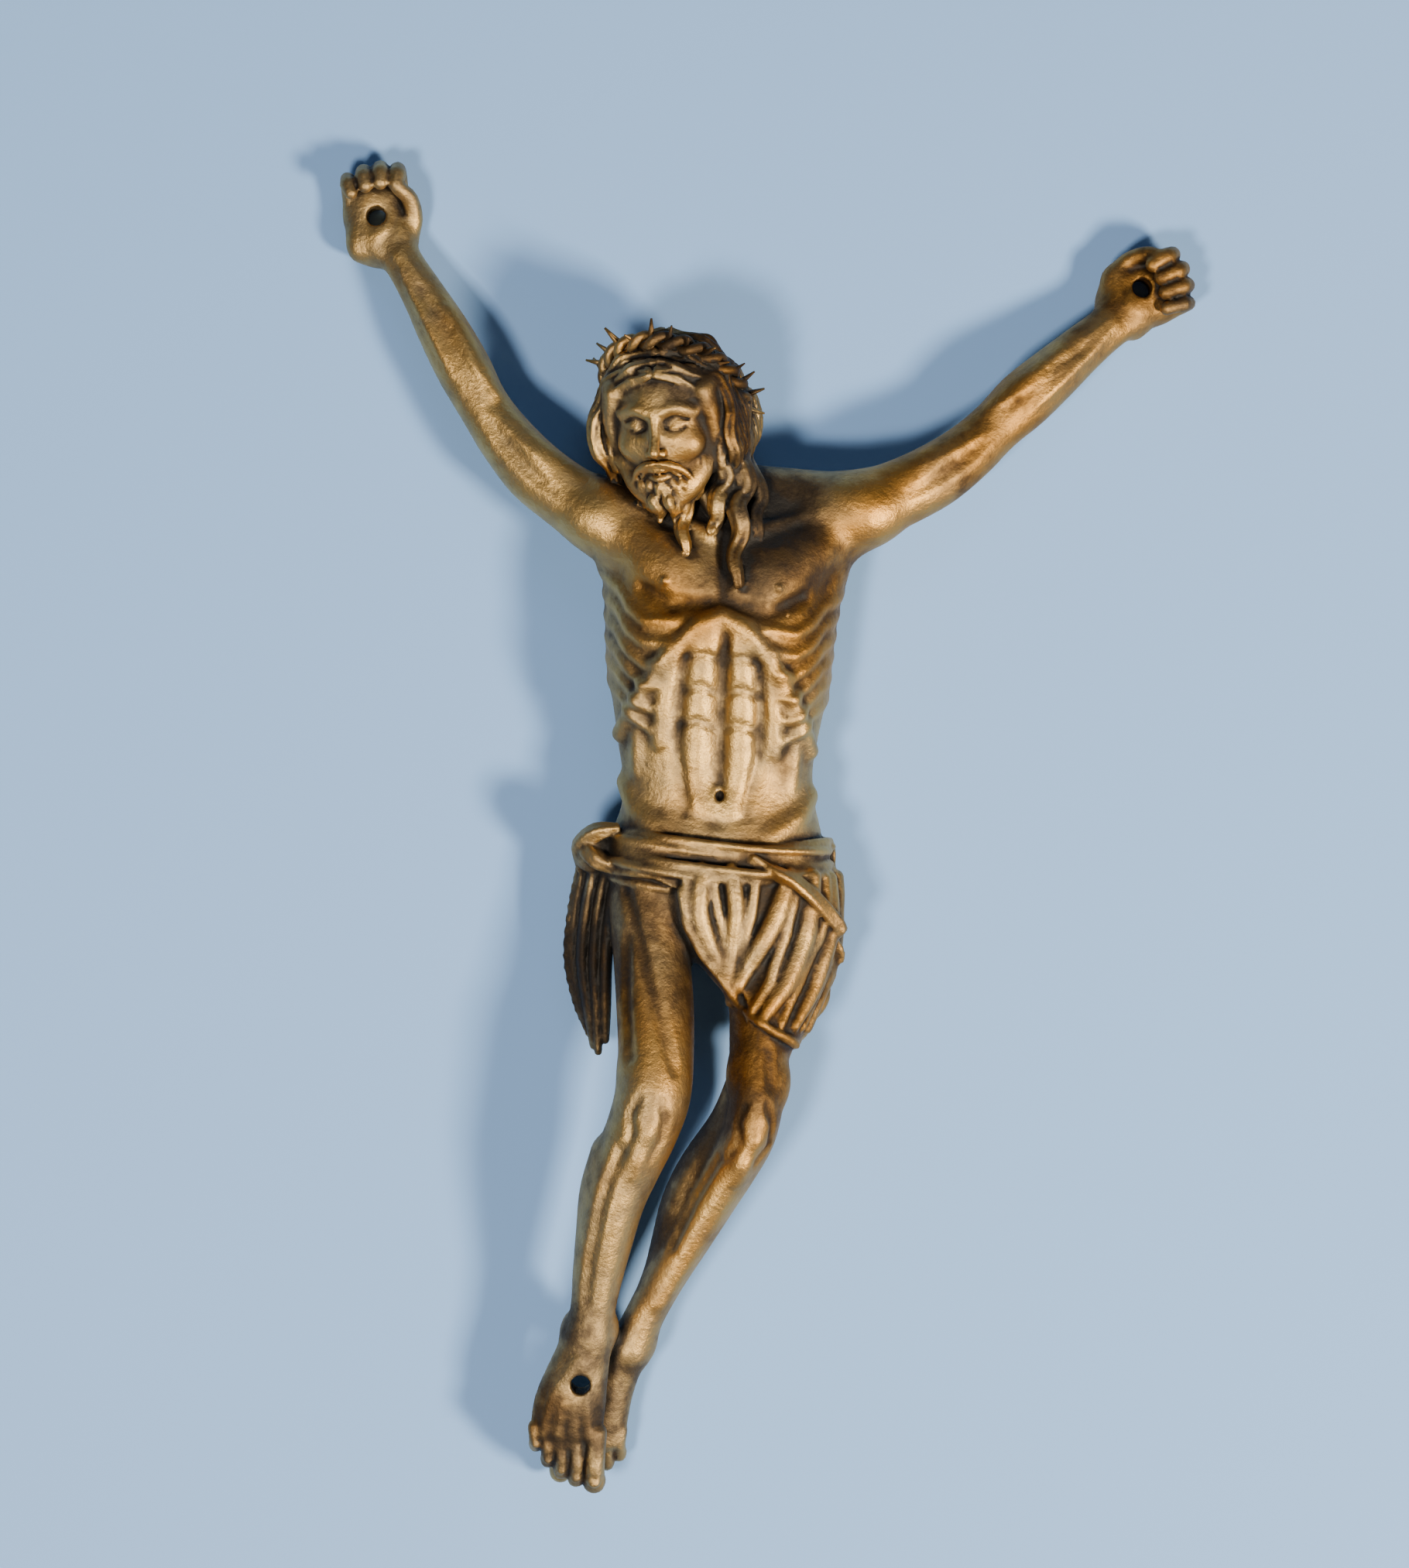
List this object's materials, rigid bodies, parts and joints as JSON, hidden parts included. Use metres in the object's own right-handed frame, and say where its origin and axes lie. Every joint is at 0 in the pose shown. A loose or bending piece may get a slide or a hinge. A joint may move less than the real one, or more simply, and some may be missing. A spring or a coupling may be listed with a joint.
{
  "type": "crucifix corpus figure",
  "caption": "Small cast brass corpus for a crucifix: bearded figure with raised arms, crown of thorns, knotted loincloth and crossed feet, with nail holes in palms and feet.",
  "frame": {"origin": "Middle of the figure's box, in the plane of its filed back, on which it lies.", "axes": "+X along the line through the two palm holes, towards the figure's left hand, +Y up the figure to its raised hands, +Z out of its chest."},
  "size_m": [0.097, 0.1466, 0.0216],
  "materials": {
    "cast_brass": "worn cast brass with brown patina in the recesses"
  },
  "bodies": {
    "root": {"corpus_figure": "cast_brass"}
  },
  "joints": []
}
